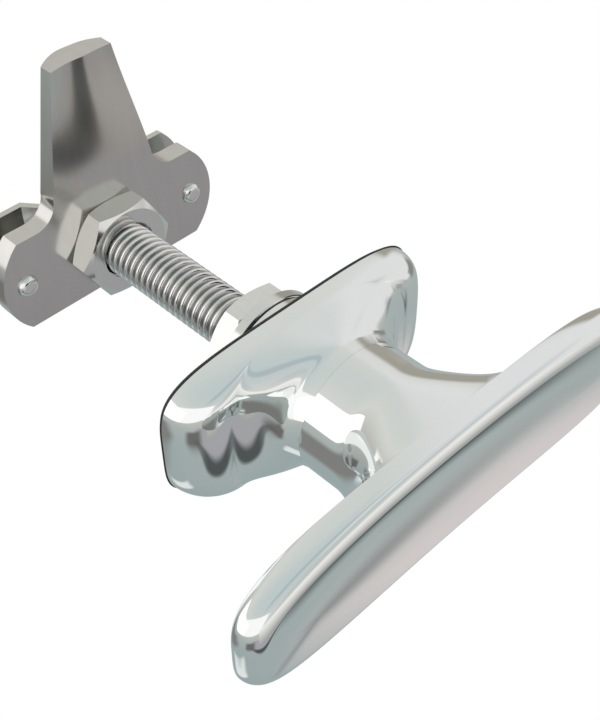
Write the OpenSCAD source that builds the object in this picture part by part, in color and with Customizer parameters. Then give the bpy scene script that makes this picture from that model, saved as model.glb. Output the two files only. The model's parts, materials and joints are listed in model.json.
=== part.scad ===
// T-handle cam latch: a chromed T-handle turns a threaded spindle in a fixed base.
// The spindle carries a cam plate with a latch blade and two forks for locking rods.
// Origin: centre of the panel face, on the spindle axis. +Y runs along the spindle into
// the door, the handle stands at -Y, +X runs along the T-bar, +Z is up along the blade.

/* [Handle] */
// Length of the T-bar, end to end
handle_len = 88; // [70:1:120]
// Height of the T-bar at its middle
bar_height = 23; // [20:0.5:26]
// Thickness of the T-bar at its middle
bar_thick = 4.6; // [4:0.1:7]
// How square the outline of the T-bar is: 2 is an ellipse
bar_square = 3.4; // [2.6:0.1:4.4]
// How far the tips of the T-bar stand in front of its middle
bar_sweep = 1.5; // [0:0.1:3]
// Rounding of the long front edges of the T-bar
edge_round = 2.1; // [1:0.1:3]
// Rounding of the two ends of the T-bar, front to side
end_round = 4; // [2:0.1:6]
// Crown of the front face of the T-bar
face_crown = 0.4; // [0:0.1:1]
// Diameter of the neck
neck_dia = 23.4; // [22:0.1:25]
// Length of the neck, from the base to the back of the T-bar
neck_len = 18.2; // [15:0.1:26]
// Part of the neck that is a plain cylinder
neck_straight = 6.5; // [3:0.1:10]
// Reach of the fillet from the neck out along the back of the T-bar
neck_fillet = 11; // [6:0.5:16]
// How far along its depth the fillet keeps the direction of the neck, as a share
fillet_depth_pull = 0.55; // [0.3:0.05:0.8]
// How far along its reach the fillet has turned into the back of the T-bar, as a share
fillet_reach_pull = 0.3; // [0.1:0.05:0.6]
// Depth of the spindle socket in the neck
socket_depth = 15; // [10:0.5:18]

/* [Base] */
// Length of the base
base_len = 54.6; // [50:0.2:66]
// Height of the base
base_height = 26; // [25:0.1:30]
// Depth of the base, from the gasket to the neck
base_depth = 13.6; // [12:0.1:18]
// Depth of the two end lobes, from the gasket to their front
lobe_depth = 7.2; // [6.4:0.1:8]
// Where the lobes are deepest, as a share of the way from the neck to the ends
lobe_middle = 0.5; // [0.45:0.01:0.7]
// How far the ends of the base lean in at half their depth
end_lean = 0.2; // [0:0.1:2.4]
// Rounding of the ends of the base into the front of the lobes
lobe_round = 3.2; // [1:0.1:4]
// Reach of the hollow between lobe and neck, on the lobe
cove_reach = 3; // [2:0.1:5]
// Flare of the base round the neck, just behind the seam
neck_flare = 1.2; // [0.5:0.1:2.5]
// Length of the round collar of the base behind the seam
collar_len = 2.4; // [0.5:0.1:4]
// How square the outline of the base is: 2 is an ellipse
base_square = 4.4; // [3.4:0.1:6]
// Rounding of the long edges of the lobes, front to top and to bottom
lobe_edge = 4; // [1:0.1:6]
// Diameter of the boss that sits in the panel
boss_dia = 21; // [19:0.1:24]
// Length of the boss behind the panel face
boss_len = 3; // [2:0.1:6]
// Distance between the two tapped fixing holes
fixing_spacing = 40; // [36:0.5:42]
// Core diameter of the tapped fixing holes
fixing_dia = 3.3; // [2.5:0.1:4.2]
// Depth of the tapped fixing holes behind the gasket
fixing_depth = 4.5; // [3:0.1:4.8]
// Thickness of the gasket
gasket_thick = 0.9; // [0.5:0.1:2]
// How far the gasket stands out round the base
gasket_lip = 0.3; // [0:0.1:1]

/* [Turning parts] */
// Outside diameter of the spindle thread
thread_dia = 10; // [8:0.1:11]
// Wall of the spindle bush
bush_wall = 1.2; // [0.8:0.1:1.6]
// Width and thickness of the front flange of the bush
bush_flange = 0.8; // [0.6:0.1:1]
// Thickness of the ring of the spindle seal
seal_section = 1.8; // [1.2:0.1:2]
// Diameter of the stop pin
stop_dia = 2.2; // [1.5:0.1:2.4]
// Length of the stop pin that is pressed into the neck
stop_grip = 5; // [3:0.1:8]
// Length of the stop pin that stands out of the neck into its groove
stop_reach = 2.6; // [1.5:0.1:4]
// Angle that the handle turns through
turn_angle = 90; // [60:5:120]
// Diameter of the friction washer
friction_dia = 20.4; // [18:0.1:24]
// Thickness of the friction washer
friction_thick = 0.6; // [0.4:0.1:1.5]
// Diameter of the flat washer
washer_dia = 21.4; // [19:0.1:26]
// Thickness of the flat washer
washer_thick = 1.4; // [1:0.1:3]
// Width of the nuts across their flats
nut_flats = 17; // [16:0.5:19]
// Height of the nuts
nut_height = 5; // [4:0.1:8]
// Radial depth of the chamfer on the corners of the nuts
nut_chamfer = 1.6; // [1:0.1:1.9]

/* [Cam] */
// Distance from the panel face to the front of the cam plate
cam_distance = 46; // [40:0.5:60]
// Thickness of the cam plate
cam_thick = 3.75; // [3:0.05:5]
// Length of the cam plate over its two ears
cam_len = 47.4; // [44:0.2:60]
// Height of the ears
ear_height = 18.9; // [18:0.1:22]
// Radius of the rounded ends of the ears
ear_radius = 12.7; // [11:0.1:16]
// Width of the blade at its root
blade_root = 21.6; // [18:0.1:24]
// Width of the blade at its tip
blade_tip = 12.6; // [8:0.1:16]
// Height of the blade tip above the spindle axis
blade_height = 36.6; // [30:0.2:50]
// Thickness of the blade tip at its side edges
tip_edge = 2.7; // [1.5:0.1:3.5]
// Thickness of the blade tip at its middle
tip_middle = 4.5; // [3.6:0.1:6]
// How far the corners of the tip lean back from the plate front
tip_lean = 1.15; // [0:0.05:2]
// Hollow of the front of the tip between its corners
tip_hollow = 0.7; // [0:0.1:1.2]
// Radius of the corners between the ears and the blade
blade_fillet = 4.5; // [2:0.1:6]
// Thickness of the fork bracket
fork_thick = 1.2; // [1:0.1:2]
// Gap of the forks behind the cam plate
fork_gap = 4.5; // [4.2:0.1:8]
// Half length of the middle of the fork bracket that lies on the plate
fork_seat = 9; // [8:0.1:10]
// Length of the sloping step of the fork bracket
fork_step = 3.6; // [3:0.1:5]
// Distance of the rod pins from the ends of the cam plate
pin_inset = 4.8; // [4:0.1:6]
// Diameter of the rod pins
pin_dia = 4; // [3:0.1:5]
// How far the round ends of the rod pins stand out of the plate
pin_proud = 1; // [0.5:0.1:2]
// Diameter of the heads of the rod pins behind the forks
pin_head_dia = 6.4; // [5.6:0.1:8]
// Thickness of the heads of the rod pins
pin_head = 1.2; // [0.8:0.1:2]
// Diameter of the spring lock washer
lock_washer_dia = 16.4; // [14:0.1:18]
// Thickness of the spring lock washer
lock_washer_thick = 2; // [1.5:0.1:3]
// Width of the slit in the spring lock washer
lock_washer_slit = 1.2; // [0.8:0.1:2]
// Length of the spindle behind the rear nut
spindle_spare = 2.4; // [1:0.1:6]
// Chamfer of the rear end of the spindle
spindle_chamfer = 1; // [0.5:0.1:1.5]

/* [Clearances] */
// Gap of the parts that turn or slide on the spindle, on the radius
running_gap = 0.05; // [0.02:0.01:0.1]
// Gap between the faces that turn against each other
face_gap = 0.1; // [0.05:0.01:0.3]
// Gap round the stop pin in its groove
stop_gap = 0.2; // [0.15:0.05:0.4]
// Gap of the pressed pins in their holes, on the radius
pressed_gap = 0.02; // [0.01:0.01:0.05]
// Gap of the gasket round the boss and the fixing screws, on the radius
gasket_gap = 0.4; // [0.2:0.1:0.8]

/* [Hidden] */
$fn = 64;

// Points round one ring of a loft, and steps along one of its curves
ring_points = 56;
curve_steps = 10;
// Turn between two rings of the front rounding of the T-bar, and the sizes of the rings of its face
round_turn = 18;
face_rings = [0.8, 0.6, 0.4, 0.2, 0.05];
// Rings along the plain back and along the round end of the T-bar
back_steps = 3;
end_steps = 6;
// Where the end curves of the base and its cove have half turned, as shares of their depth
end_turn = 0.55;
cove_turn = 0.33;
// How late the outline of the base turns round on its way to the collar
collar_turn = 1.4;
// Points across half of the blade
blade_steps = 4;
// Overshoot of the cuts, so that they leave no skin
cut = 1;

// Places along the spindle axis, from the handle to the rear nut
seam_y = -gasket_thick - base_depth;
neck_y = seam_y - face_gap;
bar_back_y = seam_y - neck_len;
bar_edge_y = bar_back_y - bar_thick + edge_round;
friction_y = boss_len + face_gap;
washer_y = friction_y + friction_thick;
retainer_y = washer_y + washer_thick;
lock_nut_y = cam_distance - nut_height;
cam_back_y = cam_distance + cam_thick;
fork_y = cam_back_y + fork_gap;
lock_washer_y = cam_back_y + fork_thick;
rear_nut_y = lock_washer_y + lock_washer_thick;
spindle_end_y = rear_nut_y + nut_height + spindle_spare;
socket_y = neck_y - socket_depth;

// Radii that several pieces share
spindle_r = thread_dia / 2;
bore_r = spindle_r + running_gap;
bush_r = bore_r + bush_wall;
bush_seat_r = bush_r + pressed_gap;
flange_seat_r = bush_seat_r + bush_flange;
seal_r = bore_r + seal_section;
seal_seat_y = boss_len - seal_section - 2 * pressed_gap;
neck_r = neck_dia / 2;
// The stop pin runs midway between the flange of the bush and the outside of the neck
stop_radius = (flange_seat_r + neck_r) / 2;
nut_r = nut_flats / 2 / cos(30);
pin_spacing = cam_len - 2 * pin_inset;

// A point on a cubic curve, a soft step from 0 to 1, and a value part of the way between two
function bezier(p, t) = pow(1 - t, 3) * p[0] + 3 * pow(1 - t, 2) * t * p[1]
    + 3 * (1 - t) * t * t * p[2] + pow(t, 3) * p[3];
function ease(t) = let (u = min(max(t, 0), 1)) u * u * (3 - 2 * u);
function between(a, b, t) = a + (b - a) * t;
function curve(p, steps) = [for (i = [1:steps]) bezier(p, i / steps)];

// A rounded outline of half length a and half height b: power 2 is an ellipse, more is squarer
function outline(a, b, power) = [for (i = [0:ring_points - 1])
    let (f = 360 * i / ring_points,
        r = pow(pow(abs(cos(f)), power) + pow(abs(sin(f)), power), -1 / power))
    [a * r * cos(f), b * r * sin(f)]];

// A skin over closed rings of equally many points, with flat ends fanned from their middles
module loft(rings) {
    n = len(rings[0]);
    last = (len(rings) - 1) * n;
    middles = [for (r = [rings[0], rings[len(rings) - 1]]) [for (p = r) 1] * r / n];
    polyhedron(
        points = concat([for (r = rings) each r], middles),
        faces = [for (i = [0:n - 1]) let (j = (i + 1) % n) each concat(
            [[i, j, last + n], [last + j, last + i, last + n + 1]],
            [for (k = [0:n:last - n]) each [[k + j, k + i, k + n + i], [k + n + j, k + j, k + n + i]]])]);
}

// Turns a shape drawn along Z so that it runs along +Y from y
module along_y(y) {
    translate([0, y, 0]) rotate([-90, 0, 0]) children();
}

// Extrudes an outline drawn in X and Z along +Y, from y over the length
module plate_y(y, length) {
    translate([0, y + length, 0]) rotate([90, 0, 0]) linear_extrude(length) children();
}

module tube_y(y, length, outer, inner) {
    along_y(y) difference() {
        cylinder(h = length, r = outer);
        translate([0, 0, -cut]) cylinder(h = length + 2 * cut, r = inner);
    }
}

// Half of the plan of the handle: half width and place along Y, from the seam to the front edge
function handle_plan() = let (
        half = handle_len / 2,
        fillet_end = neck_r + neck_fillet,
        end_start = half - end_round,
        straight_y = neck_y - neck_straight)
    concat(
        [[neck_r, neck_y], [neck_r, straight_y]],
        curve([[neck_r, straight_y], [neck_r, between(straight_y, bar_back_y, fillet_depth_pull)],
            [between(neck_r, fillet_end, fillet_reach_pull), bar_back_y],
            [fillet_end, bar_back_y]], curve_steps),
        [for (i = [1:back_steps]) [between(fillet_end, end_start, i / back_steps), bar_back_y]],
        curve([[end_start, bar_back_y], [half - end_round / 2, bar_back_y],
            [half, (bar_back_y + bar_edge_y) / 2], [half, bar_edge_y]], end_steps));

// One ring of the bar, swept forward towards its tips by the share of the full sweep
function bar_ring(a, b, power, y, sweep) = [for (p = outline(a, b, power))
    [p.x, y - sweep * bar_sweep * pow(2 * p.x / handle_len, 2), p.y]];

function handle_rings() = concat(
    [for (p = handle_plan())
        let (t = ease((neck_y - neck_straight - p.y) / (neck_y - neck_straight - bar_back_y)))
        bar_ring(p.x, between(neck_r, bar_height / 2, t), between(2, bar_square, t), p.y, 0)],
    [for (f = [round_turn:round_turn:90])
        bar_ring(handle_len / 2 - end_round * (1 - cos(f)), bar_height / 2 - edge_round * (1 - cos(f)),
            bar_square, bar_edge_y - edge_round * sin(f), sin(f))],
    [for (s = face_rings)
        bar_ring(s * (handle_len / 2 - end_round), s * (bar_height / 2 - edge_round),
            bar_square, bar_edge_y - edge_round - face_crown * (1 - s * s), 1)]);

module t_handle() color([0.83, 0.85, 0.84]) {
    difference() {
        loft(handle_rings());
        along_y(socket_y) cylinder(h = socket_depth + cut, r = spindle_r + pressed_gap);
        stop_pin_at() along_y(neck_y - stop_grip) {
            cylinder(h = stop_grip + cut, r = stop_dia / 2 + pressed_gap);
        }
    }
}

// The stop pin rests at the lower left and turns up to the upper left
module stop_pin_at() {
    rotate([0, -turn_angle / 2, 0]) translate([-stop_radius, 0, 0]) children();
}

module stop_pin() color([0.6, 0.6, 0.6]) {
    stop_pin_at() along_y(neck_y - stop_grip) {
        cylinder(h = stop_grip + stop_reach, r = stop_dia / 2);
    }
}

// Half of the plan of the base: half length and place along Y, from the gasket to the seam
function base_plan() = let (
        half = base_len / 2,
        lobe_y = -gasket_thick - lobe_depth,
        lobe_x = between(neck_r, half, lobe_middle))
    concat(
        [[half, -gasket_thick]],
        curve([[half, -gasket_thick], [half - end_lean, between(-gasket_thick, lobe_y, end_turn)],
            [half - lobe_round, lobe_y], [lobe_x, lobe_y]], curve_steps),
        curve([[lobe_x, lobe_y], [lobe_x - cove_reach, lobe_y],
            [neck_r + neck_flare, between(lobe_y, seam_y, cove_turn)], [neck_r, seam_y]], curve_steps));

// One ring of the base: the plan at half height x, y, with its top and bottom rounded back by the lean
function base_ring(x, y, half_height, power, lean) = [for (q = outline(x, half_height, power))
    let (rise = max(0, 1 - (half_height - abs(q.y)) / lobe_edge))
    [q.x, y + lean * lobe_edge * (1 - sqrt(1 - rise * rise)), q.y]];

// Rings from the square outline at the gasket over the fronts of the lobes to the round collar
function base_rings() = let (
        plan = base_plan(),
        last = len(plan) - 1,
        lobe_y = -gasket_thick - lobe_depth)
    [for (i = [0:last]) let (
        p = plan[i],
        way = plan[min(i + 1, last)] - plan[max(i - 1, 0)],
        w = ease((lobe_y - p.y) / (lobe_y - seam_y - collar_len)),
        lean = i == 0 ? 0 : max(0, -way.x / norm(way)) * (1 - w))
    base_ring(p.x, p.y, between(base_height / 2, neck_r, w),
        between(base_square, 2, pow(w, collar_turn)), lean)];

module fixing_holes(y, length, r) {
    for (side = [-1, 1]) translate([side * fixing_spacing / 2, 0, 0]) along_y(y) {
        cylinder(h = length, r = r);
    }
}

// The groove that the stop pin runs in, open at the seam, with radial ends clear of the pin
module stop_groove() {
    groove_r = stop_dia / 2 + stop_gap;
    span = turn_angle + 2 * asin(groove_r / stop_radius);
    along_y(seam_y - cut) rotate(180 - span / 2) rotate_extrude(angle = span) {
        translate([stop_radius - groove_r, 0]) square([2 * groove_r, stop_reach + stop_gap + cut]);
    }
}

module escutcheon_base() color([0.83, 0.85, 0.84]) {
    difference() {
        union() {
            loft(base_rings());
            along_y(-gasket_thick - cut) cylinder(h = boss_len + gasket_thick + cut, r = boss_dia / 2);
        }
        along_y(seam_y - cut) cylinder(h = boss_len - seam_y + 2 * cut, r = bush_seat_r);
        along_y(seam_y - cut) cylinder(h = bush_flange + cut, r = flange_seat_r);
        along_y(seal_seat_y) cylinder(h = boss_len - seal_seat_y + cut, r = seal_r + pressed_gap);
        fixing_holes(-gasket_thick - fixing_depth, fixing_depth + cut, fixing_dia / 2);
        stop_groove();
    }
}

module base_gasket() color([0.08, 0.09, 0.08]) {
    difference() {
        plate_y(-gasket_thick, gasket_thick) {
            polygon(outline(base_len / 2 + gasket_lip, base_height / 2 + gasket_lip, base_square));
        }
        along_y(-gasket_thick - cut) cylinder(h = gasket_thick + 2 * cut, r = boss_dia / 2 + gasket_gap);
        fixing_holes(-gasket_thick - cut, gasket_thick + 2 * cut, fixing_dia / 2 + gasket_gap);
    }
}

module spindle_bush() color([0.9, 0.88, 0.8]) {
    difference() {
        union() {
            along_y(seam_y) cylinder(h = seal_seat_y - seam_y, r = bush_r);
            along_y(seam_y) cylinder(h = bush_flange, r = bush_r + bush_flange);
        }
        along_y(seam_y - cut) cylinder(h = seal_seat_y - seam_y + 2 * cut, r = bore_r);
    }
}

module spindle_seal() color([0.1, 0.1, 0.1]) {
    along_y(seal_seat_y + pressed_gap + seal_section / 2) rotate_extrude() {
        translate([bore_r + seal_section / 2, 0]) circle(d = seal_section);
    }
}

// A round bar with a chamfered rear end, in its socket at the front
module spindle() color([0.7, 0.69, 0.67]) {
    chamfer = spindle_chamfer;
    length = spindle_end_y - socket_y;
    along_y(socket_y) rotate_extrude() {
        polygon([[0, 0], [spindle_r, 0], [spindle_r, length - chamfer], [spindle_r - chamfer, length],
            [0, length]]);
    }
}

module friction_washer() color([0.12, 0.12, 0.12]) {
    tube_y(friction_y, friction_thick, friction_dia / 2, bore_r);
}

module flat_washer() color([0.75, 0.75, 0.73]) {
    tube_y(washer_y, washer_thick, washer_dia / 2, bore_r);
}

// A hexagon nut with corners chamfered at 30 degrees on both faces
module hex_nut(y) {
    chamfer_h = nut_chamfer * tan(30);
    along_y(y) difference() {
        intersection() {
            cylinder(h = nut_height, r = nut_r, $fn = 6);
            rotate_extrude() polygon([[0, 0], [nut_r - nut_chamfer, 0], [nut_r, chamfer_h],
                [nut_r, nut_height - chamfer_h], [nut_r - nut_chamfer, nut_height], [0, nut_height]]);
        }
        translate([0, 0, -cut]) cylinder(h = nut_height + 2 * cut, r = bore_r);
    }
}

module retaining_nut() color([0.8, 0.8, 0.77]) hex_nut(retainer_y);

module cam_lock_nut() color([0.75, 0.74, 0.72]) hex_nut(lock_nut_y);

module rear_cam_nut() color([0.75, 0.74, 0.72]) hex_nut(rear_nut_y);

module spring_lock_washer() color([0.6, 0.6, 0.6]) {
    difference() {
        tube_y(lock_washer_y, lock_washer_thick, lock_washer_dia / 2, bore_r);
        translate([-lock_washer_slit / 2, lock_washer_y - cut, -lock_washer_dia]) {
            cube([lock_washer_slit, lock_washer_thick + 2 * cut, lock_washer_dia]);
        }
    }
}

// The outline of the two ears, seen along the spindle
module ears() {
    intersection() {
        square([cam_len, ear_height], center = true);
        union() {
            square([cam_len - 2 * ear_radius, ear_height], center = true);
            for (side = [-1, 1]) translate([side * (cam_len / 2 - ear_radius), 0]) circle(ear_radius);
        }
    }
}

// Height where the round inner corners end and the blade begins to change its section
blade_foot = ear_height / 2 + blade_fillet;

// Half width of the blade at a height above the axis
function blade_half(z) = between(blade_root, blade_tip, (z - blade_foot) / (blade_height - blade_foot)) / 2;

// The root of the blade, with round inner corners to the top of the ears
module blade_foot_outline() {
    corner_x = blade_root / 2 + blade_fillet;
    difference() {
        translate([-corner_x, 0]) square([2 * corner_x, blade_foot]);
        for (side = [-1, 1]) translate([side * corner_x, blade_foot]) circle(blade_fillet);
    }
}

// One section of the blade at height z: the front hollow and the back full towards the tip
function blade_section(z) = let (
        half = blade_half(z),
        t = ease((z - blade_foot) / (blade_height - blade_foot)),
        front = function(s) cam_distance + t * (tip_lean + tip_hollow * (1 - s * s)),
        edge = between(cam_thick, tip_edge, t),
        middle = between(cam_thick, tip_middle, t),
        back = function(s) front(s) + edge + (middle - edge) * (1 - s * s))
    concat(
        [for (i = [-blade_steps:blade_steps]) let (s = i / blade_steps) [half * s, front(s), z]],
        [for (i = [blade_steps:-1:-blade_steps]) let (s = i / blade_steps) [half * s, back(s), z]]);

// The blade starts inside its root, so that the two make one body
module blade() {
    loft(concat(
        [[for (p = blade_section(blade_foot)) p - [0, 0, blade_fillet]]],
        [for (i = [0:curve_steps]) blade_section(between(blade_foot, blade_height, i / curve_steps))]));
}

module cam_plate() color([0.62, 0.61, 0.59]) {
    difference() {
        union() {
            plate_y(cam_distance, cam_thick) {
                ears();
                blade_foot_outline();
            }
            blade();
        }
        along_y(cam_distance - cut) cylinder(h = cam_thick + 2 * cut, r = bore_r);
        rod_pin_holes(cam_distance, cam_thick);
    }
}

module rod_pin_holes(y, length) {
    for (side = [-1, 1]) translate([side * pin_spacing / 2, 0, 0]) along_y(y - cut) {
        cylinder(h = length + 2 * cut, r = pin_dia / 2 + pressed_gap);
    }
}

// A strip that lies on the back of the plate and steps back at both ends to make the forks
module fork_bracket() color([0.66, 0.66, 0.64]) {
    reach = cam_len / 2;
    step_end = fork_seat + fork_step;
    shift = fork_thick * tan(atan2(fork_gap, fork_step) / 2);
    front = [[-reach, fork_gap], [-step_end, fork_gap], [-fork_seat, 0],
        [fork_seat, 0], [step_end, fork_gap], [reach, fork_gap]];
    inset = [0, shift, shift, -shift, -shift, 0];
    back = [for (i = [0:5]) front[i] + [inset[i], fork_thick]];
    difference() {
        intersection() {
            translate([0, cam_back_y, -ear_height / 2]) linear_extrude(ear_height) {
                polygon(concat(front, [for (i = [5:-1:0]) back[i]]));
            }
            plate_y(cam_back_y, fork_gap + fork_thick) ears();
        }
        along_y(cam_back_y - cut) cylinder(h = fork_thick + 2 * cut, r = bore_r);
        rod_pin_holes(fork_y, fork_thick);
    }
}

// A pin with a head behind the fork and a round end in front of the plate
module rod_pin(side) {
    front_y = cam_distance - pin_proud;
    shank = fork_y + fork_thick - front_y;
    r = pin_dia / 2;
    nose = min(pin_proud, pin_dia / 2 - running_gap);
    translate([side * pin_spacing / 2, 0, 0]) along_y(front_y) {
        rotate_extrude() {
            translate([0, nose]) square([r, shank - nose]);
            square([r - nose, shank]);
            intersection() {
                translate([r - nose, nose]) circle(nose);
                square([r, nose]);
            }
        }
        translate([0, 0, shank]) cylinder(h = pin_head, d = pin_head_dia);
    }
}

module rod_pin_left() color([0.8, 0.8, 0.8]) rod_pin(-1);

module rod_pin_right() color([0.8, 0.8, 0.8]) rod_pin(1);

t_handle();
stop_pin();
escutcheon_base();
base_gasket();
spindle_bush();
spindle_seal();
spindle();
friction_washer();
flat_washer();
retaining_nut();
cam_lock_nut();
cam_plate();
fork_bracket();
rod_pin_left();
rod_pin_right();
spring_lock_washer();
rear_cam_nut();
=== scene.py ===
"""Looks of a T-handle cam latch: dense meshes and finishes on the fixed frame of its parts."""

import json
import math

import bmesh
import bpy
from mathutils import Euler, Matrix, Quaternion, Vector


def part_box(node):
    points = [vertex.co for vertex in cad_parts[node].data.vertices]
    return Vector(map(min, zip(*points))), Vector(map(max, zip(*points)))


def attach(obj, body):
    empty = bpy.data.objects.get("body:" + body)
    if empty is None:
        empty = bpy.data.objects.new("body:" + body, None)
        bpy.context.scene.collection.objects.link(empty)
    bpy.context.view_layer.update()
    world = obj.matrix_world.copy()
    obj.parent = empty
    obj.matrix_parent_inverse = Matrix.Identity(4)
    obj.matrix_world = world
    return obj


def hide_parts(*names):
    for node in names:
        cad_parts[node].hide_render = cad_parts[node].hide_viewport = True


bl_info = {
    "name": "T-handle cam latch",
    "version": (1, 0, 0),
    "blender": (4, 5, 0),
    "location": "View3D > Sidebar > Latch",
    "description": "Dresses the parts of a T-handle cam latch and lights them in a studio",
    "category": "Object",
}

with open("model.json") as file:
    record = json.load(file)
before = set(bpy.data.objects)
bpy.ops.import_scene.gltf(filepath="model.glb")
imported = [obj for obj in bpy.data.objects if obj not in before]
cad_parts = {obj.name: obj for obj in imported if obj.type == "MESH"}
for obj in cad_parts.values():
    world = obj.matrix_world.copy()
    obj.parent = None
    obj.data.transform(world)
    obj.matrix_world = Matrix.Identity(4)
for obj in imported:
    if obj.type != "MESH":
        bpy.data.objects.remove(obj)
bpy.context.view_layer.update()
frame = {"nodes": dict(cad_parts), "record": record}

MM = 0.001

# How finely the meshes are divided, and how near points lie that are merged
RING = 224
TURN = 96
HOLE_TURN = 48
PIN_TURN = 40
RING_OF_NUT = 144
NECK_ROWS = 6
FILLET_ROWS = 36
BACK_ROWS = 10
END_ROWS = 18
EDGE_ROWS = 16
FACE_ROWS = 24
LOBE_ROWS = 40
CORNER_ROWS = 14
EAR_ROWS = 40
BLADE_ROWS = 40
BLADE_COLUMNS = 24
NOSE_ROWS = 10
THREAD_SAMPLES = 13
WELD = 0.002 * MM

# A studio panel shows only where its side of the room is faced
GRAZING = 0.02
LEAST_FACING = 0.001

HANDLE_LOW, HANDLE_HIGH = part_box("t_handle")
BASE_LOW, BASE_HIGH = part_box("escutcheon_base")
GASKET_LOW, GASKET_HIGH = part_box("base_gasket")
SPINDLE_LOW, SPINDLE_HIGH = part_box("spindle")
BUSH_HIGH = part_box("spindle_bush")[1]
SEAL_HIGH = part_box("spindle_seal")[1]
PLATE_LOW, PLATE_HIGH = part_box("cam_plate")
FORK_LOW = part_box("fork_bracket")[0]
FRONT_NUT_LOW, FRONT_NUT_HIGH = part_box("cam_lock_nut")
REAR_NUT_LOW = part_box("rear_cam_nut")[0]
PANEL_NUT_LOW, PANEL_NUT_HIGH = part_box("retaining_nut")
LEFT_PIN_LOW, LEFT_PIN_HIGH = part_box("rod_pin_left")
RIGHT_PIN_LOW, RIGHT_PIN_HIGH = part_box("rod_pin_right")
MOUNTS = {mount["name"]: mount for mount in frame["record"]["mounts"]}
FIXING = MOUNTS["fixing_screws"]["dims"]


def size(name, description, default):
    """A length that the user can change, in metres."""
    return bpy.props.FloatProperty(
        name=name, description=description, default=default, unit="LENGTH", precision=5)


def share(name, description, default):
    """A plain number that the user can change."""
    return bpy.props.FloatProperty(name=name, description=description, default=default)


def tint(name, description, default):
    """A colour that the user can change."""
    return bpy.props.FloatVectorProperty(
        name=name, description=description, default=default, subtype="COLOR", min=0, soft_max=1)


def panel(name, default):
    """Where a studio panel stands and how large it is, in degrees, with its softness and fade."""
    return bpy.props.FloatVectorProperty(
        name=name, size=7, default=default,
        description="Azimuth, elevation, roll, half width, half height, softness and fade to its foot")


class HandleForm(bpy.types.PropertyGroup):
    """Sizes of the T-handle."""

    length: size("Length", "Length of the T-bar, end to end", HANDLE_HIGH.x - HANDLE_LOW.x)
    height: size("Bar height", "Height of the T-bar at its middle", 23 * MM)
    thick: size("Bar thickness", "Thickness of the T-bar at its middle", 4.54 * MM)
    square: share("Bar squareness", "How square the outline of the T-bar is", 3.9)
    sweep: size("Sweep", "How far the tips stand in front of the middle", 1.5 * MM)
    edge_round: size("Edge rounding", "Rounding of the long front edges", 2.1 * MM)
    end_round: size("End rounding", "Rounding of the two ends, front to side", 4 * MM)
    crown: size("Crown", "Crown of the front face", 0.4 * MM)
    neck_radius: size("Neck radius", "Radius of the round neck", HANDLE_HIGH.z)
    neck_len: size("Neck length", "From the seam to the back of the T-bar", 18.18 * MM)
    seam_fill: size("Seam fill", "How far the neck runs into the gap of the seam", 0.08 * MM)
    socket_gap: size("Socket gap", "Gap round the spindle in the neck", 0.02 * MM)
    socket_end: size("Socket end", "Gap before the end of the spindle in the neck", 0.05 * MM)
    neck_straight: size("Straight neck", "Part of the neck that is a cylinder", 6.5 * MM)
    fillet: size("Fillet", "Reach of the fillet from the neck along the bar", 11 * MM)
    fillet_depth_pull: share("Fillet depth pull", "How long the fillet follows the neck", 0.55)
    fillet_reach_pull: share("Fillet reach pull", "How soon the fillet meets the bar", 0.3)


class BaseForm(bpy.types.PropertyGroup):
    """Sizes of the lobed base and its gasket."""

    length: size("Length", "Length of the base", BASE_HIGH.x - BASE_LOW.x)
    height: size("Height", "Height of the base", BASE_HIGH.z - BASE_LOW.z)
    lobe_depth: size("Lobe depth", "From the gasket to the front of the lobes", 7.2 * MM)
    square: share("Squareness", "How square the outline of the base is", 4.4)
    lobe_edge: size("Lobe edge", "Rounding of the front of the lobes to top and bottom", 4 * MM)
    barrel: size("Barrel", "How far the lobes curve back to top and bottom", 0.75 * MM)
    lobe_middle: share("Lobe middle", "Where the lobes are deepest, neck to end", 0.5)
    end_lean: size("End lean", "How far the ends lean in at half depth", 0.2 * MM)
    lobe_round: size("Lobe rounding", "Rounding of the ends into the lobes", 3.2 * MM)
    cove_reach: size("Cove reach", "Reach of the hollow on the lobe", 3 * MM)
    neck_flare: size("Neck flare", "Flare of the base round the neck", 1.2 * MM)
    collar: size("Collar", "Length of the round part of the base behind the seam", 2.4 * MM)
    end_turn: share("End turn", "Where the ends have half turned, share of depth", 0.55)
    cove_turn: share("Cove turn", "Where the cove has half turned, share of depth", 0.33)
    round_late: share("Round late", "How late the outline turns round towards the collar", 1.4)
    boss_radius: size("Boss radius", "Radius of the boss in the panel", 10.5 * MM)
    boss_chamfer: size("Boss chamfer", "Chamfer of the end of the boss", 0.3 * MM)
    bush_step: size("Bush step", "Step from the flange of the bush to its wall", 0.8 * MM)
    fixing_depth: size("Fixing depth", "Depth of the tapped holes", 4.5 * MM)
    drill_point: share("Drill point", "Depth of the drilled point, share of the hole's radius", 0.6)
    gasket_edge: size("Gasket edge", "Broken front edge of the gasket", 0.1 * MM)
    gasket_slope: size("Gasket slope", "How far the rear edge of the gasket slopes in", 0.6 * MM)
    gasket_lip: share("Gasket lip", "How much of the gasket's lip shows round the base", 0.5)
    gap: size("Gasket gap", "Gap of the gasket round boss and screws", 0.4 * MM)


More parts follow.
